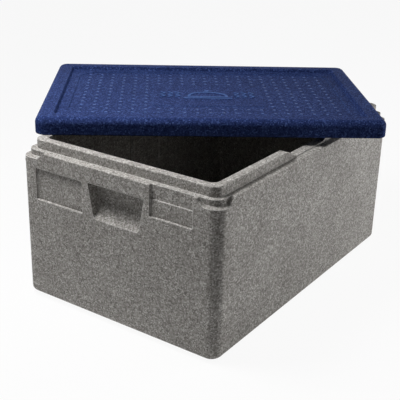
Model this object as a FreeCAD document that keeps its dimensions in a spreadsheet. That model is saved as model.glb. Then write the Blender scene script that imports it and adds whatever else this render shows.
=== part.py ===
import FreeCAD, Part
import math
import os

import Sketcher

# Insulated food carrier: a moulded foam box that holds a full-size food pan, and its loose lid.
# Millimetres, +Z up. X runs along the long sides and Y along the short ones. The origin is the
# centre of the foot's underside. The box turned half round about Z looks the same.

doc = FreeCAD.newDocument("insulated_food_carrier")
sheet = doc.addObject("Spreadsheet::Sheet", "Size")

DIMENSIONS = {
    # box
    "box_length": 600,
    "box_width": 400,
    "body_height": 266,
    "corner_radius": 20,
    "wall": 31,
    "floor_thickness": 32,
    "base_round": 10,
    "edge_round": 1.5,
    "foot_height": 4,
    "cavity_corner_radius": 11,
    "cavity_floor_round": 6,
    # raised inner rim that the closed lid drops over, with a dip in the middle of each long side
    "tongue_inset": 15.3,
    "tongue_height": 16.3,
    "tongue_corner_radius": 17,
    "dip_rise": 1.5,
    "dip_floor_length": 94,
    "dip_top_length": 160,
    "dip_round": 8,
    "dip_overcut": 20,
    # spacer ribs inside the long walls
    "rib_spread": 90,
    "rib_width": 10,
    "rib_depth": 2.5,
    "rib_drop": 14,
    # finger cut-outs at the corners of the ledge, long and short ones by turns: an upright inner
    # wall over a floor that falls outwards, and how far they reach along the sides from low to high
    "finger_drop": 12,
    "finger_wall": 9.8,
    "finger_bend": 5,
    "finger_lip": 0.5,
    "finger_inset": 7.7,
    "finger_corner_radius": 17,
    "finger_short_low": 29,
    "finger_short_foot": 33,
    "finger_short_bend": 38.5,
    "finger_short_high": 41.5,
    "finger_long_low": 38,
    "finger_long_foot": 41,
    "finger_long_high": 52,
    # label panel on the end face, left of the handle as seen from outside
    "label_width": 102,
    "label_height": 56,
    "label_drop": 28,
    "label_depth": 4,
    "panel_round": 2,
    # hand scoop in the end face
    "handle_top_width": 114,
    "handle_low_width": 92,
    "handle_height": 60,
    "handle_drop": 27,
    "handle_depth": 22,
    "handle_shift": 5,
    "handle_corner_radius": 10,
    "handle_floor_rise": 12,
    "handle_floor_radius": 38,
    "left_bar": 12.5,
    "right_bar": 10,
    # clip panel right of the handle, open at the top, with a shallower lower half
    "clip_width": 80,
    "clip_height": 52,
    "clip_step_drop": 24,
    "clip_high_depth": 5.5,
    "clip_low_depth": 3.5,
    # lid
    "lid_thickness": 30,
    "lid_corner_radius": 18,
    "lid_edge_radius": 11,
    "lid_low_round": 2,
    "groove_gap": 0.8,
    "groove_top_gap": 0.7,
    # stacking recess in the lid's top, which takes the foot of a carrier on top of it
    "recess_inset": 29.8,
    "recess_depth": 7,
    "recess_draft": 2.5,
    "recess_corner_radius": 6,
    "recess_round": 1.2,
    "foot_gap": 1.5,
    "panel_inset": 19.5,
    "panel_depth": 1.2,
    "panel_corner_radius": 40,
    # plain plaque in the middle of the lid, with a serving dome and rising steam in low relief
    "plaque_length": 204,
    "plaque_width": 150,
    "plaque_shift": 15,
    "plaque_height": 0.6,
    "plaque_corner_radius": 8,
    "relief_height": 1.2,
    "dome_width": 76,
    "dome_height": 36,
    "dome_line": 5,
    "dome_edge": 1,
    "tray_width": 92,
    "tray_round": 2.2,
    "tray_gap": 4,
    "knob_radius": 5,
    "steam_first": 56,
    "steam_pitch": 14,
    "steam_step": 9,
    "steam_swing": 4,
    "steam_line": 3.6,
    # where the lid lies at rest, askew and level on top of the inner rim
    "lid_turn": -52.82,
    "lid_shift_x": 67.5,
    "lid_shift_y": 75,
}

for row, (alias, size) in enumerate(DIMENSIONS.items(), start=1):
    sheet.set(f"A{row}", str(size))
    sheet.setAlias(f"A{row}", alias)
doc.recompute()

# Heights and half sizes that several features share, as expressions on the sheet.
LEDGE = "(Size.foot_height + Size.body_height)"
RIM_TOP = f"({LEDGE} + Size.tongue_height)"
CAVITY_FLOOR = "(Size.foot_height + Size.floor_thickness)"
HALF_LENGTH = "Size.box_length / 2"
HALF_WIDTH = "Size.box_width / 2"
HANDLE_TOP = f"({LEDGE} - Size.handle_drop)"
HANDLE_LOW = f"({HANDLE_TOP} - Size.handle_height)"
HANDLE_LEFT = "(Size.handle_top_width / 2 - Size.handle_shift)"
HANDLE_RIGHT = "(-Size.handle_top_width / 2 - Size.handle_shift)"
END_FACE = f"-({HALF_LENGTH})"
RECESS_FOOT = "(Size.recess_inset + Size.recess_draft)"

# Cutters run this far past the solid, and pieces that merge with it start this deep inside.
OVERRUN = "5"
OVERLAP = "1"


def number(expression):
    return float(sheet.evalExpression(expression))


def bind(thing, path, expression):
    thing.setExpression(path, expression)


def origin_feature(body, role):
    return next(f for f in body.Origin.OriginFeatures if f.Role == role)


def new_sketch(body, name, plane, offset="0"):
    """A sketch on one of the body's own planes, moved along that plane's normal."""
    sketch = body.newObject("Sketcher::SketchObject", name)
    sketch.AttachmentSupport = [(origin_feature(body, plane), "")]
    sketch.MapMode = "FlatFace"
    bind(sketch, "AttachmentOffset.Base.z", offset)
    return sketch


def pin(sketch, kind, item, point, expression):
    """Holds one coordinate of a sketch point at an expression, whatever its sign."""
    value = number(expression)
    if abs(value) < 1e-7:
        axis = -2 if kind == "DistanceX" else -1
        sketch.addConstraint(Sketcher.Constraint("PointOnObject", item, point, axis))
    elif value > 0:
        row = sketch.addConstraint(Sketcher.Constraint(kind, -1, 1, item, point, value))
        bind(sketch, f"Constraints[{row}]", expression)
    else:
        row = sketch.addConstraint(Sketcher.Constraint(kind, item, point, -1, 1, -value))
        bind(sketch, f"Constraints[{row}]", f"-({expression})")


def outline(sketch, corners):
    """A closed loop through corners of (x, y) or, where the corner is round, (x, y, radius)."""
    count = len(corners)
    spots = [FreeCAD.Vector(number(c[0]), number(c[1]), 0) for c in corners]
    starts, ends, arcs = list(spots), list(spots), {}
    for i, corner in enumerate(corners):
        if len(corner) < 3:
            continue
        radius = number(corner[2])
        back = (spots[i - 1] - spots[i]).normalize()
        ahead = (spots[(i + 1) % count] - spots[i]).normalize()
        half_angle = back.getAngle(ahead) / 2
        run = radius / math.tan(half_angle)
        ends[i] = spots[i] + back * run
        starts[i] = spots[i] + ahead * run
        centre = spots[i] + (back + ahead).normalize() * (radius / math.sin(half_angle))
        left_turn = ahead.cross(back).z > 0
        first, last = (ends[i], starts[i]) if left_turn else (starts[i], ends[i])
        from_angle = math.atan2(first.y - centre.y, first.x - centre.x)
        to_angle = math.atan2(last.y - centre.y, last.x - centre.x)
        if to_angle < from_angle:
            to_angle += 2 * math.pi
        circle = Part.Circle(centre, FreeCAD.Vector(0, 0, 1), radius)
        arc = sketch.addGeometry(Part.ArcOfCircle(circle, from_angle, to_angle), False)
        arcs[i] = (arc, 1 if left_turn else 2, 2 if left_turn else 1)
    lines = [
        sketch.addGeometry(Part.LineSegment(starts[i], ends[(i + 1) % count]), False)
        for i in range(count)
    ]
    for i, corner in enumerate(corners):
        before, after = lines[i - 1], lines[i]
        if i not in arcs:
            sketch.addConstraint(Sketcher.Constraint("Coincident", before, 2, after, 1))
            pin(sketch, "DistanceX", after, 1, corner[0])
            pin(sketch, "DistanceY", after, 1, corner[1])
            continue
        arc, arc_in, arc_out = arcs[i]
        sketch.addConstraint(Sketcher.Constraint("Tangent", before, 2, arc, arc_in))
        sketch.addConstraint(Sketcher.Constraint("Tangent", arc, arc_out, after, 1))
        row = sketch.addConstraint(Sketcher.Constraint("Radius", arc, number(corner[2])))
        bind(sketch, f"Constraints[{row}]", corner[2])
        spot = sketch.addGeometry(Part.Point(spots[i]), True)
        sketch.addConstraint(Sketcher.Constraint("PointOnObject", spot, 1, before))
        sketch.addConstraint(Sketcher.Constraint("PointOnObject", spot, 1, after))
        pin(sketch, "DistanceX", spot, 1, corner[0])
        pin(sketch, "DistanceY", spot, 1, corner[1])


def rectangle(sketch, half_length, half_width, radius, centre_y="0"):
    """A rounded rectangle, centred on X and on centre_y."""
    high, low = f"{centre_y} + {half_width}", f"{centre_y} - ({half_width})"
    outline(
        sketch,
        [
            (f"-({half_length})", low, radius),
            (half_length, low, radius),
            (half_length, high, radius),
            (f"-({half_length})", high, radius),
        ],
    )


def circle(sketch, x, y, radius):
    centre = FreeCAD.Vector(number(x), number(y), 0)
    item = sketch.addGeometry(Part.Circle(centre, FreeCAD.Vector(0, 0, 1), number(radius)), False)
    row = sketch.addConstraint(Sketcher.Constraint("Radius", item, number(radius)))
    bind(sketch, f"Constraints[{row}]", radius)
    pin(sketch, "DistanceX", item, 3, x)
    pin(sketch, "DistanceY", item, 3, y)


def changed_by(body, feature, sign):
    """Recomputes, and makes sure that the feature added or removed material."""
    before = body.Tip.Shape.Volume if body.Tip and body.Tip != feature else 0
    body.Tip = feature
    doc.recompute()
    if sign * (feature.Shape.Volume - before) <= 1:
        raise RuntimeError(f"{feature.Name} changed nothing: {before} to {feature.Shape.Volume}")


def grow(body, name, sketch, length, both_sides=False):
    last = body.Tip
    feature = body.newObject("PartDesign::Pad", name)
    return sweep(body, feature, sketch, length, both_sides, False, last, 1)


def cut(body, name, sketch, length, both_sides=False, reverse=False):
    last = body.Tip
    feature = body.newObject("PartDesign::Pocket", name)
    return sweep(body, feature, sketch, length, both_sides, reverse, last, -1)


def sweep(body, feature, sketch, length, both_sides, reverse, last, sign):
    feature.Profile = sketch
    feature.SideType = "Symmetric" if both_sides else "One side"
    feature.Reversed = reverse
    bind(feature, "Length", length)
    body.Tip = last
    changed_by(body, feature, sign)
    return feature


def round_edges(body, name, radius, wanted):
    """Rounds the edges of the body so far that the test wanted picks out."""
    base = body.Tip
    edges = [f"Edge{i}" for i, e in enumerate(base.Shape.Edges, start=1) if wanted(e)]
    if not edges:
        raise RuntimeError(f"{name} found no edges")
    fillet = body.newObject("PartDesign::Fillet", name)
    fillet.Base = (base, edges)
    bind(fillet, "Radius", radius)
    body.Tip = fillet
    doc.recompute()
    return fillet


def level(height):
    """A test for edges that lie wholly at one height."""
    z = number(height)
    return lambda edge: abs(edge.BoundBox.ZMin - z) < 1e-4 and abs(edge.BoundBox.ZMax - z) < 1e-4


def within(wanted, inset):
    """The edges of another test that also lie at least inset, less a hair, inside the outline."""
    x_limit = number(f"{HALF_LENGTH} - {inset}") + 0.1
    y_limit = number(f"{HALF_WIDTH} - {inset}") + 0.1
    return lambda edge: (
        wanted(edge)
        and max(-edge.BoundBox.XMin, edge.BoundBox.XMax) < x_limit
        and max(-edge.BoundBox.YMin, edge.BoundBox.YMax) < y_limit
    )


def half_turn(body, name, features):
    """Repeats features of one end on the other end."""
    last = body.Tip
    pattern = body.newObject("PartDesign::PolarPattern", name)
    pattern.Originals = features
    pattern.Axis = (origin_feature(body, "Z_Axis"), [""])
    pattern.Angle = 360
    pattern.Occurrences = 2
    body.Tip = last
    changed_by(body, pattern, -1)


def hollow(body, name, sections):
    """Takes away what straight lines between the sections enclose, from the lowest one up."""
    last = body.Tip
    loft = body.newObject("PartDesign::SubtractiveLoft", name)
    loft.Profile = sections[0]
    loft.Sections = sections[1:]
    loft.Ruled = True
    body.Tip = last
    changed_by(body, loft, -1)
    return loft


def finger_cut(body, name, side, levels):
    """A cut-out round the corner at -X and the given side of Y, from levels of drop and reach."""
    sections = []
    for place, (drop, reach) in enumerate(levels):
        inset, radius = "Size.finger_inset", "Size.finger_corner_radius"
        if place == 0:
            inset, radius = "Size.finger_lip", "Size.corner_radius"
        sketch = new_sketch(body, f"{name}_{place}", "XY_Plane", f"{LEDGE} - {drop}")
        out_x, out_y = f"-({HALF_LENGTH}) - {OVERRUN}", f"{side} * ({HALF_WIDTH} + {OVERRUN})"
        in_x, in_y = f"-({HALF_LENGTH}) + {inset}", f"{side} * ({HALF_WIDTH} - {inset})"
        end_x, end_y = f"-({HALF_LENGTH}) + {reach}", f"{side} * ({HALF_WIDTH} - {reach})"
        outline(
            sketch,
            [
                (out_x, out_y),
                (end_x, out_y),
                (end_x, in_y),
                (in_x, in_y, radius),
                (in_x, end_y),
                (out_x, end_y),
            ],
        )
        sections.append(sketch)
    return hollow(body, name, sections)


def finger_cuts(body):
    short_levels = [
        ("Size.finger_drop", "Size.finger_short_low"),
        ("Size.finger_wall", "Size.finger_short_foot"),
        ("Size.finger_bend", "Size.finger_short_bend"),
        ("0", "Size.finger_short_high"),
    ]
    long_levels = [
        ("Size.finger_drop", "Size.finger_long_low"),
        ("Size.finger_wall", "Size.finger_long_foot"),
        ("0", "Size.finger_long_high"),
    ]
    return [
        finger_cut(body, "finger_short", "-1", short_levels),
        finger_cut(body, "finger_long", "1", long_levels),
    ]


def end_panel(body, name, y_span, z_span, depth, radii):
    """A shallow recess in the end face; radii are for its lower two and upper two corners."""
    sketch = new_sketch(body, f"{name}_outline", "YZ_Plane", END_FACE)
    spots = [
        (y_span[0], z_span[0]),
        (y_span[1], z_span[0]),
        (y_span[1], z_span[1]),
        (y_span[0], z_span[1]),
    ]
    outline(sketch, [spot + radius for spot, radius in zip(spots, radii)])
    return cut(body, name, sketch, depth, reverse=True)


def label_panel(body):
    y_low, z_high = f"{HANDLE_LEFT} + Size.left_bar", f"{LEDGE} - Size.label_drop"
    return end_panel(
        body,
        "label_panel",
        (y_low, f"{y_low} + Size.label_width"),
        (f"{z_high} - Size.label_height", z_high),
        "Size.label_depth",
        [("Size.panel_round",)] * 4,
    )


def clip_panel(body):
    """Two recesses, one over the other, that run out through the ledge above them."""
    y_high, above = f"{HANDLE_RIGHT} - Size.right_bar", f"{LEDGE} + {OVERLAP}"
    return [
        end_panel(
            body,
            name,
            (f"{y_high} - Size.clip_width", y_high),
            (f"{LEDGE} - {drop}", above),
            depth,
            [low_corner, low_corner, (), ()],
        )
        for name, drop, depth, low_corner in (
            ("clip_panel", "Size.clip_height", "Size.clip_low_depth", ("Size.panel_round",)),
            ("clip_step", "Size.clip_step_drop", "Size.clip_high_depth", ()),
        )
    ]


def hand_scoop(body):
    """A scoop with an upright back and, below it, a floor that curves out to the face."""
    low_step = "(Size.handle_top_width - Size.handle_low_width) / 2"
    mouth = new_sketch(body, "scoop_outline", "YZ_Plane", END_FACE)
    outline(
        mouth,
        [
            (HANDLE_RIGHT, HANDLE_TOP),
            (f"{HANDLE_RIGHT} + {low_step}", HANDLE_LOW, "Size.handle_corner_radius"),
            (f"{HANDLE_LEFT} - {low_step}", HANDLE_LOW, "Size.handle_corner_radius"),
            (HANDLE_LEFT, HANDLE_TOP),
        ],
    )
    hollow = cut(body, "scoop", mouth, "Size.handle_depth", reverse=True)
    ramp = new_sketch(body, "scoop_floor_outline", "XZ_Plane", "Size.handle_shift")
    back = f"{END_FACE} + Size.handle_depth"
    middle = f"({HANDLE_TOP} + {HANDLE_LOW}) / 2"
    under = f"{HANDLE_LOW} - Size.handle_corner_radius"
    outline(
        ramp,
        [
            (END_FACE, HANDLE_LOW),
            (END_FACE, under),
            (f"{back} + {OVERLAP}", under),
            (f"{back} + {OVERLAP}", f"{middle} + Size.handle_floor_rise"),
            (back, f"{middle} + Size.handle_floor_rise"),
            (back, f"{HANDLE_LOW} + Size.handle_floor_rise", "Size.handle_floor_radius"),
        ],
    )
    floor = grow(body, "scoop_floor", ramp, "Size.handle_top_width", both_sides=True)
    return [hollow, floor]


def spacer_ribs(body):
    """Slim upright ribs on both long inner walls."""
    sketch = new_sketch(body, "rib_outline", "XY_Plane", f"{CAVITY_FLOOR} - {OVERLAP}")
    wall_y = f"{HALF_WIDTH} - Size.wall"
    for side in ("", "-"):
        for end in ("", "-"):
            middle = f"{end}Size.rib_spread / 2"
            x_low, x_high = f"{middle} - Size.rib_width / 2", f"{middle} + Size.rib_width / 2"
            y_in, y_out = f"{side}({wall_y} - Size.rib_depth)", f"{side}({wall_y} + {OVERLAP})"
            outline(sketch, [(x_low, y_in), (x_high, y_in), (x_high, y_out), (x_low, y_out)])
    grow(body, "ribs", sketch, f"{LEDGE} - Size.rib_drop - {CAVITY_FLOOR} + {OVERLAP}")


def make_box():
    body = doc.addObject("PartDesign::Body", "box_body")
    shell = new_sketch(body, "shell_outline", "XY_Plane", "Size.foot_height")
    rectangle(shell, HALF_LENGTH, HALF_WIDTH, "Size.corner_radius")
    grow(body, "shell", shell, "Size.body_height")

    round_edges(body, "base_edge", "Size.base_round", level("Size.foot_height"))
    round_edges(body, "ledge_edge", "Size.edge_round", level(LEDGE))

    foot = new_sketch(body, "foot_outline", "XY_Plane")
    rectangle(
        foot,
        f"{HALF_LENGTH} - {RECESS_FOOT} - Size.foot_gap",
        f"{HALF_WIDTH} - {RECESS_FOOT} - Size.foot_gap",
        "Size.recess_corner_radius",
    )
    grow(body, "foot", foot, "Size.foot_height")

    tongue = new_sketch(body, "tongue_outline", "XY_Plane", LEDGE)
    rectangle(
        tongue,
        f"{HALF_LENGTH} - Size.tongue_inset",
        f"{HALF_WIDTH} - Size.tongue_inset",
        "Size.tongue_corner_radius",
    )
    grow(body, "tongue", tongue, "Size.tongue_height")

    cavity = new_sketch(body, "cavity_outline", "XY_Plane", RIM_TOP)
    rectangle(
        cavity,
        f"{HALF_LENGTH} - Size.wall",
        f"{HALF_WIDTH} - Size.wall",
        "Size.cavity_corner_radius",
    )
    cut(body, "cavity", cavity, f"{RIM_TOP} - {CAVITY_FLOOR}")
    round_edges(body, "rim_edges", "Size.edge_round", level(RIM_TOP))
    round_edges(body, "cavity_floor_edge", "Size.cavity_floor_round", level(CAVITY_FLOOR))
    spacer_ribs(body)

    dip = new_sketch(body, "dip_outline", "XZ_Plane")
    dip_floor, above = f"{LEDGE} + Size.dip_rise", f"{RIM_TOP} + {OVERLAP}"
    outline(
        dip,
        [
            ("-Size.dip_floor_length / 2", dip_floor, "Size.dip_round"),
            ("Size.dip_floor_length / 2", dip_floor, "Size.dip_round"),
            ("Size.dip_top_length / 2", RIM_TOP),
            ("Size.dip_top_length / 2", above),
            ("-Size.dip_top_length / 2", above),
            ("-Size.dip_top_length / 2", RIM_TOP),
        ],
    )
    cut(body, "dip", dip, "Size.box_width + Size.dip_overcut", both_sides=True)

    ends = finger_cuts(body) + [label_panel(body)] + clip_panel(body) + hand_scoop(body)
    half_turn(body, "other_end", ends)
    return body


def plaque_relief(body, height):
    """A serving dome on its tray, with three wavy lines of steam on each side."""
    dome = new_sketch(body, "dome_outline", "XY_Plane", height)
    half, low = "Size.dome_width / 2", "(Size.plaque_shift * -1 - Size.dome_height / 2)"
    top = f"{low} + Size.dome_height"
    line = "Size.dome_line"
    outer_round = f"Size.dome_height - {line} - Size.dome_edge"
    inner_round = f"Size.dome_height - 2 * {line} - Size.dome_edge"
    outline(
        dome,
        [
            (f"-({half})", low),
            (half, low),
            (half, top, outer_round),
            (f"-({half})", top, outer_round),
        ],
    )
    outline(
        dome,
        [
            (f"-({half} - {line})", f"{low} + {line}"),
            (f"{half} - {line}", f"{low} + {line}"),
            (f"{half} - {line}", f"{top} - {line}", inner_round),
            (f"-({half} - {line})", f"{top} - {line}", inner_round),
        ],
    )
    grow(body, "dome", dome, "Size.relief_height")

    tray = new_sketch(body, "tray_outline", "XY_Plane", height)
    tray_y = f"{low} - Size.tray_gap - {line} / 2"
    rectangle(tray, "Size.tray_width / 2", f"{line} / 2", "Size.tray_round", tray_y)
    grow(body, "tray", tray, "Size.relief_height")

    knob = new_sketch(body, "knob_outline", "XY_Plane", height)
    circle(knob, "0", f"{top} + Size.knob_radius + {line} / 2", "Size.knob_radius")
    grow(body, "knob", knob, "Size.relief_height")

    for side in ("-", ""):
        for place in range(3):
            middle = f"{side}(Size.steam_first + {place} * Size.steam_pitch)"
            name = f"steam_{'left' if side else 'right'}_{place}"
            steam = new_sketch(body, f"{name}_outline", "XY_Plane", height)
            rising = [
                (f"{middle} + {swing} * Size.steam_swing", f"{low} + {step} * Size.steam_step")
                for step, swing in enumerate((-1, 1, -1, 1, -1))
            ]
            outline(
                steam,
                [(f"{x} + Size.steam_line / 2", y) for x, y in rising]
                + [(f"{x} - Size.steam_line / 2", y) for x, y in reversed(rising)],
            )
            grow(body, name, steam, "Size.relief_height")


def make_lid():
    """Modelled upright on the origin and then laid in its place by its Placement."""
    body = doc.addObject("PartDesign::Body", "lid")
    slab = new_sketch(body, "slab_outline", "XY_Plane")
    rectangle(slab, HALF_LENGTH, HALF_WIDTH, "Size.lid_corner_radius")
    grow(body, "slab", slab, "Size.lid_thickness")
    round_edges(body, "lid_top_edge", "Size.lid_edge_radius", level("Size.lid_thickness"))
    round_edges(body, "lid_low_edge", "Size.lid_low_round", level("0"))

    recess_floor = "Size.lid_thickness - Size.recess_depth"
    sections = []
    for place, height, inset in (
        ("foot", recess_floor, RECESS_FOOT),
        ("mouth", "Size.lid_thickness", "Size.recess_inset"),
    ):
        sketch = new_sketch(body, f"recess_{place}", "XY_Plane", height)
        half_length, half_width = f"{HALF_LENGTH} - {inset}", f"{HALF_WIDTH} - {inset}"
        rectangle(sketch, half_length, half_width, "Size.recess_corner_radius")
        sections.append(sketch)
    hollow(body, "recess", sections)
    mouth = within(level("Size.lid_thickness"), "Size.recess_inset")
    round_edges(body, "recess_edge", "Size.recess_round", mouth)

    panel = new_sketch(body, "panel_outline", "XY_Plane", recess_floor)
    rectangle(
        panel,
        f"{HALF_LENGTH} - Size.recess_inset - Size.panel_inset",
        f"{HALF_WIDTH} - Size.recess_inset - Size.panel_inset",
        "Size.panel_corner_radius",
    )
    cut(body, "panel", panel, "Size.panel_depth")

    panel_floor = f"{recess_floor} - Size.panel_depth"
    plaque = new_sketch(body, "plaque_outline", "XY_Plane", panel_floor)
    rectangle(
        plaque,
        "Size.plaque_length / 2",
        "Size.plaque_width / 2",
        "Size.plaque_corner_radius",
        "(-Size.plaque_shift)",
    )
    grow(body, "plaque", plaque, "Size.plaque_height")
    plaque_relief(body, f"{panel_floor} + Size.plaque_height")

    groove = new_sketch(body, "groove_outline", "XY_Plane")
    for inset, radius in (
        ("(Size.tongue_inset - Size.groove_gap)", "Size.tongue_corner_radius + Size.groove_gap"),
        ("(Size.wall + Size.groove_gap)", "Size.cavity_corner_radius - Size.groove_gap"),
    ):
        rectangle(groove, f"{HALF_LENGTH} - {inset}", f"{HALF_WIDTH} - {inset}", radius)
    cut(body, "groove", groove, "Size.tongue_height + Size.groove_top_gap", reverse=True)

    turn = FreeCAD.Rotation(FreeCAD.Vector(0, 0, 1), number("Size.lid_turn"))
    body.Placement = FreeCAD.Placement(FreeCAD.Vector(0, 0, 0), turn)
    bind(body, "Placement.Rotation.Angle", "Size.lid_turn")
    bind(body, "Placement.Base.x", "Size.lid_shift_x")
    bind(body, "Placement.Base.y", "Size.lid_shift_y")
    bind(body, "Placement.Base.z", RIM_TOP)
    doc.recompute()
    return body


def check(bodies):
    """Stops before anything is written if a feature failed or a shape isn't sound."""
    for thing in doc.Objects:
        if {"Invalid", "Error"} & set(thing.State):
            raise RuntimeError(f"{thing.Name} failed: {thing.State}")
    for body in bodies:
        if body.Shape.isNull() or not body.Shape.isValid():
            raise RuntimeError(f"{body.Label} has no sound shape")


bodies = [make_box(), make_lid()]
check(bodies)
os.makedirs("parts", exist_ok=True)
for body in bodies:
    body.Shape.exportStep(f"parts/{body.Label}.step")
    print(body.Label, len(body.Shape.Solids), round(body.Shape.Volume), body.Shape.BoundBox)
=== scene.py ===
from math import cos, radians, sin

import bmesh
import bpy
from mathutils import Matrix, Vector


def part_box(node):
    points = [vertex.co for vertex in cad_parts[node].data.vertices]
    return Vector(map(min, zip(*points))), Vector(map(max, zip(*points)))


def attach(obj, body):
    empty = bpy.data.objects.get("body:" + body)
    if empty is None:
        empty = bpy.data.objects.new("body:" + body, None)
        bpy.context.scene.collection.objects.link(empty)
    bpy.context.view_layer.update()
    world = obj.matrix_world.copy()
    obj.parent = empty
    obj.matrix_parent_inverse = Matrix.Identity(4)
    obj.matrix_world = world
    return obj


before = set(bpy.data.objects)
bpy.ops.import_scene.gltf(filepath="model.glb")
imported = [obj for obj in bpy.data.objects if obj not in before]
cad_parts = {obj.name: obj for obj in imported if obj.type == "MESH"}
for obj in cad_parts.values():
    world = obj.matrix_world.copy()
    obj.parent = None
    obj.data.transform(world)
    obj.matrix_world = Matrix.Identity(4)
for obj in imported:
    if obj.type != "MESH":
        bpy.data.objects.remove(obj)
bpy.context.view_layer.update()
print("frame loaded:", sorted(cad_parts))

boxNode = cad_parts["box_body"]
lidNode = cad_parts["lid"]
boxLow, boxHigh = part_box("box_body")
lidLow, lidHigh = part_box("lid")
mm = 0.001
rayStart = 50 * mm  # how far outside a moulding a ray starts
sameHeight = 1e-6  # faces this near in height count as level, in metres
smoothAngle = radians(50)

# where the lid lies: its middle is that of its own bounding box, and it is turned askew about Z
lidTurn = radians(-52.82)
lidMiddle = (lidLow + lidHigh) / 2
lidPlace = Matrix.Translation((lidMiddle.x, lidMiddle.y, lidHigh.z)) @ Matrix.Rotation(lidTurn, 4, "Z")


def deselectAll():
    bpy.ops.object.select_all(action="DESELECT")


def pickOnly(piece):
    deselectAll()
    piece.select_set(True)
    bpy.context.view_layer.objects.active = piece


def newGroup(name, inputs, outputs):
    group = bpy.data.node_groups.new(name, "ShaderNodeTree")
    for label, kind, value in inputs:
        socket = group.interface.new_socket(label, in_out="INPUT", socket_type=kind)
        socket.default_value = value
    for label, kind in outputs:
        group.interface.new_socket(label, in_out="OUTPUT", socket_type=kind)
    return group, group.nodes.new("NodeGroupInput"), group.nodes.new("NodeGroupOutput")


def mathNode(tree, operation, first, second, clamp=False):
    node = tree.nodes.new("ShaderNodeMath")
    node.operation = operation
    node.use_clamp = clamp
    for socket, value in zip(node.inputs, (first, second)):
        if isinstance(value, (int, float)):
            socket.default_value = value
        else:
            tree.links.new(value, socket)
    return node.outputs["Value"]


def textureNode(tree, kind, place, scale):
    node = tree.nodes.new(kind)
    tree.links.new(place, node.inputs["Vector"])
    tree.links.new(scale, node.inputs["Scale"])
    return node


# lays a colour over another where the mask says
def layOver(tree, under, colour, mask):
    mix = tree.nodes.new("ShaderNodeMix")
    mix.data_type = "RGBA"
    mix.inputs["B"].default_value = (*colour, 1.0)
    tree.links.new(mask, mix.inputs["Factor"])
    tree.links.new(under, mix.inputs["A"])
    return mix.outputs["Result"]


beadShape = {
    "seamWidth": 0.13,
    "domeReach": 0.5,
    "domePower": 0.5,
    "mottleDetail": 3.0,
    "mottleMiddle": 0.5,
    "mottleGain": 4.0,
    "grainPerBead": 2.6,
    "grainDetail": 4.0,
    "grainRoughness": 0.65,
    "grainRelief": 0.25,
}


# moulded foam beads: each bead has its own tone, is slightly domed and meets its neighbours in a seam
def makeBeadGroup():
    group, source, result = newGroup(
        "mouldedBeads",
        [
            ("Bead Size", "NodeSocketFloat", 2.2),
            ("Mottle Size", "NodeSocketFloat", 60.0),
            ("Mottle", "NodeSocketFloat", 0.08),
        ],
        [
            ("Tone", "NodeSocketFloat"),
            ("Seam", "NodeSocketFloat"),
            ("Grain", "NodeSocketFloat"),
            ("Height", "NodeSocketFloat"),
        ],
    )
    links = group.links
    place = group.nodes.new("ShaderNodeTexCoord").outputs["Object"]
    beadScale = mathNode(group, "DIVIDE", 1 / mm, source.outputs["Bead Size"])
    mottleScale = mathNode(group, "DIVIDE", 1 / mm, source.outputs["Mottle Size"])

    beads = textureNode(group, "ShaderNodeTexVoronoi", place, beadScale)
    edges = textureNode(group, "ShaderNodeTexVoronoi", place, beadScale)
    edges.feature = "DISTANCE_TO_EDGE"
    seam = group.nodes.new("ShaderNodeMapRange")
    seam.interpolation_type = "SMOOTHSTEP"
    seam.inputs["From Max"].default_value = beadShape["seamWidth"]
    seam.inputs["To Min"].default_value = 1.0
    seam.inputs["To Max"].default_value = 0.0
    links.new(edges.outputs["Distance"], seam.inputs["Value"])

    mottle = textureNode(group, "ShaderNodeTexNoise", place, mottleScale)
    mottle.inputs["Detail"].default_value = beadShape["mottleDetail"]
    grainScale = mathNode(group, "MULTIPLY", beadScale, beadShape["grainPerBead"])
    grain = textureNode(group, "ShaderNodeTexNoise", place, grainScale)
    grain.inputs["Detail"].default_value = beadShape["grainDetail"]
    grain.inputs["Roughness"].default_value = beadShape["grainRoughness"]

    single = group.nodes.new("ShaderNodeSeparateColor")
    links.new(beads.outputs["Color"], single.inputs["Color"])
    cloud = mathNode(group, "SUBTRACT", mottle.outputs["Fac"], beadShape["mottleMiddle"])
    cloud = mathNode(group, "MULTIPLY", cloud, source.outputs["Mottle"])
    cloud = mathNode(group, "MULTIPLY", cloud, beadShape["mottleGain"])
    tone = mathNode(group, "ADD", single.outputs["Red"], cloud, clamp=True)
    dome = mathNode(group, "MINIMUM", edges.outputs["Distance"], beadShape["domeReach"])
    dome = mathNode(group, "POWER", dome, beadShape["domePower"])
    rough = mathNode(group, "MULTIPLY", grain.outputs["Fac"], beadShape["grainRelief"])
    links.new(tone, result.inputs["Tone"])
    links.new(seam.outputs["Result"], result.inputs["Seam"])
    links.new(grain.outputs["Fac"], result.inputs["Grain"])
    links.new(mathNode(group, "ADD", dome, rough), result.inputs["Height"])
    return group


edgeShape = {"samples": 6, "radius": 1.6, "spread": 5.0}


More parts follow.
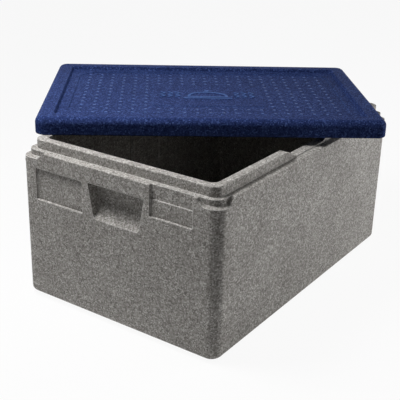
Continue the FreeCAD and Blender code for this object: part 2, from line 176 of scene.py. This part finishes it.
# the mould rounds every edge a little; the Edge mask says where, and the foams paint those edges
# paler, partly as handling wear and partly as a painted highlight
def makeEdgeGroup():
    group, source, result = newGroup(
        "softenedEdge",
        [
            ("Radius mm", "NodeSocketFloat", edgeShape["radius"]),
            ("Spread", "NodeSocketFloat", edgeShape["spread"]),
        ],
        [("Normal", "NodeSocketVector"), ("Edge", "NodeSocketFloat")],
    )
    links = group.links
    rounded = group.nodes.new("ShaderNodeBevel")
    rounded.samples = edgeShape["samples"]
    links.new(mathNode(group, "MULTIPLY", source.outputs["Radius mm"], mm), rounded.inputs["Radius"])
    flat = group.nodes.new("ShaderNodeNewGeometry")
    agreement = group.nodes.new("ShaderNodeVectorMath")
    agreement.operation = "DOT_PRODUCT"
    links.new(rounded.outputs["Normal"], agreement.inputs[0])
    links.new(flat.outputs["Normal"], agreement.inputs[1])
    apart = mathNode(group, "SUBTRACT", 1.0, agreement.outputs["Value"])
    edge = mathNode(group, "MULTIPLY", apart, source.outputs["Spread"], clamp=True)
    links.new(rounded.outputs["Normal"], result.inputs["Normal"])
    links.new(edge, result.inputs["Edge"])
    return group


beadGroup = makeBeadGroup()
edgeGroup = makeEdgeGroup()


def tonedRamp(tree, tones):
    ramp = tree.nodes.new("ShaderNodeValToRGB")
    elements = ramp.color_ramp.elements
    while len(elements) < len(tones):
        elements.new(0.5)
    for element, (position, colour) in zip(elements, tones):
        element.position = position
        element.color = (*colour, 1.0)
    return ramp


def makeFoam(name, look):
    material = bpy.data.materials.new(name)
    material.use_nodes = True
    tree = material.node_tree
    shader = tree.nodes["Principled BSDF"]
    beads = tree.nodes.new("ShaderNodeGroup")
    beads.node_tree = beadGroup
    beads.inputs["Bead Size"].default_value = look["beadSize"]
    beads.inputs["Mottle Size"].default_value = look["mottleSize"]
    beads.inputs["Mottle"].default_value = look["mottle"]
    ramp = tonedRamp(tree, look["tones"])
    tree.links.new(beads.outputs["Tone"], ramp.inputs["Fac"])

    # seams are a little darker than the beads
    seam = mathNode(tree, "MULTIPLY", beads.outputs["Seam"], look["seamStrength"])
    seamed = layOver(tree, ramp.outputs["Color"], look["seamColour"], seam)

    edges = tree.nodes.new("ShaderNodeGroup")
    edges.node_tree = edgeGroup
    edges.inputs["Radius mm"].default_value = look["edgeRadius"]
    # edges are painted paler here: partly handling wear, partly painted highlight
    edgeWearAndHighlight = mathNode(tree, "MULTIPLY", edges.outputs["Edge"], look["wearAndHighlight"])
    wearAndHighlight = layOver(tree, seamed, look["wearAndHighlightColour"], edgeWearAndHighlight)
    tree.links.new(wearAndHighlight, shader.inputs["Base Color"])

    gloss = mathNode(tree, "MULTIPLY", beads.outputs["Grain"], look["roughSpread"])
    gloss = mathNode(tree, "ADD", gloss, look["roughness"], clamp=True)
    tree.links.new(gloss, shader.inputs["Roughness"])
    bump = tree.nodes.new("ShaderNodeBump")
    bump.inputs["Strength"].default_value = look["bumpStrength"]
    bump.inputs["Distance"].default_value = look["bumpDepth"]
    tree.links.new(beads.outputs["Height"], bump.inputs["Height"])
    tree.links.new(edges.outputs["Normal"], bump.inputs["Normal"])
    tree.links.new(bump.outputs["Normal"], shader.inputs["Normal"])
    shader.inputs["Specular IOR Level"].default_value = look["specular"]
    return material


greyFoam = {
    "beadSize": 2.2,
    "mottleSize": 60.0,
    "mottle": 0.08,
    "tones": [
        (0.0, (0.18, 0.169, 0.156)),
        (0.35, (0.315, 0.3, 0.281)),
        (0.75, (0.415, 0.398, 0.377)),
        (1.0, (0.64, 0.625, 0.6)),
    ],
    "seamColour": (0.16, 0.153, 0.142),
    "seamStrength": 0.35,
    "edgeRadius": 1.6,
    # paler edge colour and its amount: partly handling wear, partly painted highlight
    "wearAndHighlightColour": (0.8, 0.79, 0.77),
    "wearAndHighlight": 0.9,
    "roughness": 0.55,
    "roughSpread": 0.25,
    "bumpStrength": 0.35,
    "bumpDepth": 0.0004,
    "specular": 0.1,
}
blueFoam = {
    "beadSize": 2.2,
    "mottleSize": 70.0,
    "mottle": 0.06,
    "tones": [
        (0.0, (0.011, 0.018, 0.064)),
        (0.35, (0.02, 0.034, 0.112)),
        (0.75, (0.029, 0.047, 0.148)),
        (1.0, (0.06, 0.098, 0.27)),
    ],
    "seamColour": (0.003, 0.007, 0.03),
    "seamStrength": 0.35,
    "edgeRadius": 0.9,
    # paler edge colour and its amount: partly handling wear, partly painted highlight
    "wearAndHighlightColour": (0.09, 0.17, 0.42),
    "wearAndHighlight": 0.3,
    # how strongly the motif's top is painted paler, a painted highlight
    "motifHighlight": 0.5,
    "roughness": 0.34,
    "roughSpread": 0.2,
    "bumpStrength": 0.4,
    "bumpDepth": 0.0004,
    "specular": 0.004,
}
# a lid vent mark is painted a little paler than the foam round it, a painted highlight on its raised
# rim
ventBlueHighlightChange = {
    "tones": [
        (0.0, (0.02, 0.05, 0.17)),
        (1.0, (0.06, 0.115, 0.33)),
    ],
    "bumpStrength": 0.15,
    "specular": 0.1,
}
# a box vent mark is a little paler than the foam round it
ventGreyChange = {
    "tones": [
        (0.0, (0.34, 0.325, 0.305)),
        (1.0, (0.5, 0.485, 0.465)),
    ],
    "bumpStrength": 0.15,
}
# the painted highlight starts and is full at these shares of the motif's height, down from its top
plaque = {
    "halfLength": 96.0,
    "halfWidth": 70.0,
    "shift": -15.0,
    "step": 3.0,
    "highlightStarts": 0.45,
    "highlightFull": 0.1,
}


# the plaque's motif is the highest thing on it, found by dropping rays on the lid
def motifTop():
    heights = []
    for column in range(int(2 * plaque["halfLength"] / plaque["step"])):
        for row in range(int(2 * plaque["halfWidth"] / plaque["step"])):
            x = column * plaque["step"] - plaque["halfLength"]
            y = row * plaque["step"] - plaque["halfWidth"] + plaque["shift"]
            start = lidPlace @ Vector((x * mm, y * mm, rayStart))
            hit, spot, _, _ = lidNode.ray_cast(start, Vector((0.0, 0.0, -1.0)))
            if hit:
                heights.append(spot.z)
    return max(heights), min(heights)


# the top of the motif is painted paler than the plaque round it, a painted highlight on the raised
# relief
def paintMotifHighlight(material, look):
    tree = material.node_tree
    shader = tree.nodes["Principled BSDF"]
    under = shader.inputs["Base Color"].links[0].from_socket
    place = tree.nodes.new("ShaderNodeTexCoord").outputs["Object"]
    apart = tree.nodes.new("ShaderNodeVectorMath")
    apart.operation = "DISTANCE"
    apart.inputs[1].default_value = lidPlace @ Vector((0.0, plaque["shift"] * mm, 0.0))
    tree.links.new(place, apart.inputs[0])
    near = mathNode(tree, "LESS_THAN", apart.outputs["Value"], plaque["halfLength"] * mm)
    height = tree.nodes.new("ShaderNodeSeparateXYZ")
    tree.links.new(place, height.inputs["Vector"])
    top, low = motifTop()
    raised = tree.nodes.new("ShaderNodeMapRange")
    raised.interpolation_type = "SMOOTHSTEP"
    raised.inputs["From Min"].default_value = top - (top - low) * plaque["highlightStarts"]
    raised.inputs["From Max"].default_value = top - (top - low) * plaque["highlightFull"]
    raised.inputs["To Max"].default_value = look["motifHighlight"]
    tree.links.new(height.outputs["Z"], raised.inputs["Value"])
    mask = mathNode(tree, "MULTIPLY", near, raised.outputs["Result"])
    # the motif's top is painted paler here: a painted highlight
    highlitMotif = layOver(tree, under, look["wearAndHighlightColour"], mask)
    tree.links.new(highlitMotif, shader.inputs["Base Color"])


greyMaterial = makeFoam("greyFoam", greyFoam)
blueMaterial = makeFoam("blueFoam", blueFoam)
paintMotifHighlight(blueMaterial, blueFoam)


def dress(node, material):
    node.data.materials.clear()
    node.data.materials.append(material)


dress(boxNode, greyMaterial)
dress(lidNode, blueMaterial)
print("foam materials made")

# the mould's steam vents leave rows of small raised marks on the lid's panel
lidVents = {
    "radius": 2.7,
    "height": 0.55,
    "sink": 0.3,
    "edge": 0.22,
    "sides": 14,
    "panelDepth": 8.2,
    "pitchX": 23.0,
    "pitchY": 22.0,
    "columns": 21,
    "rows": 13,
    "plaqueX": (-106.0, 106.0),
    "plaqueY": (-96.0, 66.0),
}


# selects the faces that lie at one height
def topFaces(piece, height):
    bpy.ops.mesh.select_mode(type="FACE")
    bpy.ops.mesh.select_all(action="DESELECT")
    mesh = bmesh.from_edit_mesh(piece.data)
    for face in mesh.faces:
        face.select_set(abs(face.calc_center_median().z - height) < sameHeight)
    bmesh.update_edit_mesh(piece.data)


def makeVent(name, look):
    deselectAll()
    thickness = (look["height"] + look["sink"]) * mm
    bpy.ops.mesh.primitive_cylinder_add(
        vertices=look["sides"],
        radius=look["radius"] * mm,
        depth=thickness,
        location=(0, 0, look["height"] * mm - thickness / 2),
    )
    vent = bpy.context.object
    vent.name = name
    bpy.ops.object.mode_set(mode="EDIT")
    topFaces(vent, look["height"] * mm)
    bpy.ops.mesh.bevel(offset=look["edge"] * mm, segments=2, affect="EDGES")
    bpy.ops.object.mode_set(mode="OBJECT")
    bpy.ops.object.transform_apply(location=True, rotation=True, scale=True)
    return vent


def joinCopies(pattern, places, name):
    copies = []
    for place in places:
        copy = bpy.data.objects.new(name, pattern.data.copy())
        copy.data.transform(place)
        bpy.context.scene.collection.objects.link(copy)
        copies.append(copy)
    bpy.data.objects.remove(pattern, do_unlink=True)
    deselectAll()
    for copy in copies:
        copy.select_set(True)
    bpy.context.view_layer.objects.active = copies[0]
    bpy.ops.object.join()
    return copies[0]


def finishVents(vents, material):
    pickOnly(vents)
    bpy.ops.object.shade_smooth_by_angle(angle=smoothAngle)
    dress(vents, material)


def makeLidVents():
    look = lidVents
    places = []
    for column in range(look["columns"]):
        for row in range(look["rows"]):
            x = (column - (look["columns"] - 1) / 2) * look["pitchX"]
            y = (row - (look["rows"] - 1) / 2) * look["pitchY"]
            onPlaque = look["plaqueX"][0] < x < look["plaqueX"][1]
            onPlaque = onPlaque and look["plaqueY"][0] < y < look["plaqueY"][1]
            if not onPlaque:
                spot = Vector((x * mm, y * mm, -look["panelDepth"] * mm))
                places.append(lidPlace @ Matrix.Translation(spot))
    vents = joinCopies(makeVent("lidVent", look), places, "lidVentMarks")
    finishVents(vents, ventBlue)
    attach(vents, "lid")


# the box's vents print as shallow rings: rows along each end, as (height, first y, last y)
boxVents = {
    "radius": 4.0,
    "height": 0.3,
    "sink": 0.4,
    "edge": 0.15,
    "sides": 16,
    "rim": 1.3,
    "dish": 0.25,
    "pitch": 22.8,
    "rows": [(251.0, 188.0, -40.0), (232.0, 166.0, 60.0), (258.0, -84.0, -140.0)],
}


def makeRing(name, look):
    ring = makeVent(name, look)
    pickOnly(ring)
    bpy.ops.object.mode_set(mode="EDIT")
    topFaces(ring, look["height"] * mm)
    bpy.ops.mesh.inset(thickness=look["rim"] * mm)
    bpy.ops.transform.translate(value=(0, 0, -look["dish"] * mm))
    bpy.ops.object.mode_set(mode="OBJECT")
    return ring


# a mark stands on the end face, wherever the face is at that height
def endPlace(y, z, side):
    outside = Vector((side * (boxHigh.x + rayStart), y * mm * -side, z * mm))
    hit, spot, normal, _ = boxNode.ray_cast(outside, Vector((-side, 0.0, 0.0)))
    if not hit:
        raise ValueError("no end face at this height")
    return Matrix.Translation(spot) @ normal.to_track_quat("Z", "Y").to_matrix().to_4x4()


def makeBoxVents():
    look = boxVents
    places = []
    for height, first, last in look["rows"]:
        for number in range(int((first - last) / look["pitch"]) + 1):
            for side in (-1, 1):
                places.append(endPlace(first - number * look["pitch"], height, side))
    vents = joinCopies(makeRing("boxVent", look), places, "boxVentMarks")
    finishVents(vents, ventGrey)
    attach(vents, "box")


ventBlue = makeFoam("ventBlue", {**blueFoam, **ventBlueHighlightChange})
ventGrey = makeFoam("ventGrey", {**greyFoam, **ventGreyChange})
makeLidVents()
makeBoxVents()

studio = {
    "floorSize": 14.0,
    "floorColour": (0.86, 0.86, 0.86),
    "floorRoughness": 0.9,
    "white": 0.96,
    "shadowShare": 0.07,
    "ambient": 0.02,
    "aimShare": 0.6,
}


def makeFloor():
    deselectAll()
    bpy.ops.mesh.primitive_plane_add(size=studio["floorSize"], location=(0, 0, boxLow.z))
    floor = bpy.context.object
    floor.name = "studioFloor"
    material = bpy.data.materials.new("paleFloor")
    material.use_nodes = True
    tree = material.node_tree
    shader = tree.nodes["Principled BSDF"]
    output = tree.nodes["Material Output"]
    shader.inputs["Base Color"].default_value = (*studio["floorColour"], 1.0)
    shader.inputs["Roughness"].default_value = studio["floorRoughness"]
    shader.inputs["Specular IOR Level"].default_value = 0.0
    glow = tree.nodes.new("ShaderNodeEmission")
    glow.inputs["Color"].default_value = (1.0, 1.0, 1.0, 1.0)
    paths = tree.nodes.new("ShaderNodeLightPath")
    seen = mathNode(tree, "MULTIPLY", paths.outputs["Is Camera Ray"], 1.0 - studio["shadowShare"])
    mix = tree.nodes.new("ShaderNodeMixShader")
    tree.links.new(seen, mix.inputs["Fac"])
    tree.links.new(shader.outputs["BSDF"], mix.inputs[1])
    tree.links.new(glow.outputs["Emission"], mix.inputs[2])
    tree.links.new(mix.outputs["Shader"], output.inputs["Surface"])
    floor.data.materials.append(material)


def makeWorld():
    world = bpy.data.worlds.new("studioWorld")
    bpy.context.scene.world = world
    world.use_nodes = True
    tree = world.node_tree
    tree.nodes.clear()
    paths = tree.nodes.new("ShaderNodeLightPath")
    plain = tree.nodes.new("ShaderNodeBackground")
    plain.inputs["Color"].default_value = (1.0, 1.0, 1.0, 1.0)
    plain.inputs["Strength"].default_value = studio["ambient"]
    white = tree.nodes.new("ShaderNodeBackground")
    white.inputs["Color"].default_value = (studio["white"],) * 3 + (1.0,)
    white.inputs["Strength"].default_value = 1.0
    seen = mathNode(tree, "MAXIMUM", paths.outputs["Is Camera Ray"], paths.outputs["Is Glossy Ray"])
    seen = mathNode(tree, "MAXIMUM", seen, paths.outputs["Is Transmission Ray"])
    mix = tree.nodes.new("ShaderNodeMixShader")
    output = tree.nodes.new("ShaderNodeOutputWorld")
    tree.links.new(seen, mix.inputs["Fac"])
    tree.links.new(plain.outputs["Background"], mix.inputs[1])
    tree.links.new(white.outputs["Background"], mix.inputs[2])
    tree.links.new(mix.outputs["Shader"], output.inputs["Surface"])


# softboxes stand round the object and face a point near its middle
softboxes = {
    "rightLow": {"towards": (0.95, -0.75, 0.04), "distance": 2.6, "size": 1.2, "watts": 69.0},
    "sideLeft": {"towards": (-0.62, 0.78, 0.42), "distance": 2.2, "size": 1.1, "watts": 1.5},
    "leftTop": {"towards": (-0.76, 0.5, 1.42), "distance": 1.05, "size": 0.4, "watts": 9.0},
    "overhead": {"towards": (-0.6, 0.5, 1.6), "distance": 1.1, "size": 0.45, "watts": 2.2},
    "frontHigh": {"towards": (0.3, -0.55, 1.2), "distance": 1.6, "size": 0.4, "watts": 1.3},
}


def makeSoftboxes():
    middle = Vector((0.0, 0.0, boxHigh.z * studio["aimShare"]))
    for name, box in softboxes.items():
        towards = Vector(box["towards"]).normalized()
        lamp = bpy.data.lights.new(name, "AREA")
        lamp.shape = "SQUARE"
        lamp.size = box["size"]
        lamp.energy = box["watts"]
        holder = bpy.data.objects.new(name, lamp)
        holder.location = middle + towards * box["distance"]
        holder.rotation_euler = towards.to_track_quat("Z", "Y").to_euler()
        bpy.context.scene.collection.objects.link(holder)


# a long lens that looks down on the near corner, with a touch of roll
cameraSetup = {
    "azimuth": -55.865,
    "elevation": 22.45,
    "roll": 1.559,
    "distance": 1.5586,
    "lens": 75.16,
    "sensor": 36.0,
    "farthest": 30.0,
    "aim": (-0.0267, 0.0206, 0.1325),
}


def makeCamera():
    turn, tilt, roll = (radians(cameraSetup[k]) for k in ("azimuth", "elevation", "roll"))
    back = Vector((sin(turn) * cos(tilt), -cos(turn) * cos(tilt), sin(tilt)))
    level = Vector((cos(turn), sin(turn), 0.0))
    upright = back.cross(level)
    right = level * cos(roll) + upright * sin(roll)
    up = upright * cos(roll) - level * sin(roll)
    lens = bpy.data.cameras.new("studioCamera")
    lens.lens = cameraSetup["lens"]
    lens.sensor_width = cameraSetup["sensor"]
    lens.clip_end = cameraSetup["farthest"]
    camera = bpy.data.objects.new("studioCamera", lens)
    camera.matrix_world = Matrix.Translation(
        Vector(cameraSetup["aim"]) + back * cameraSetup["distance"]
    ) @ Matrix((right, up, back)).transposed().to_4x4()
    bpy.context.scene.collection.objects.link(camera)
    bpy.context.scene.camera = camera


makeFloor()
makeWorld()
makeSoftboxes()
makeCamera()
bpy.context.scene.view_settings.view_transform = "Standard"
print("studio set")
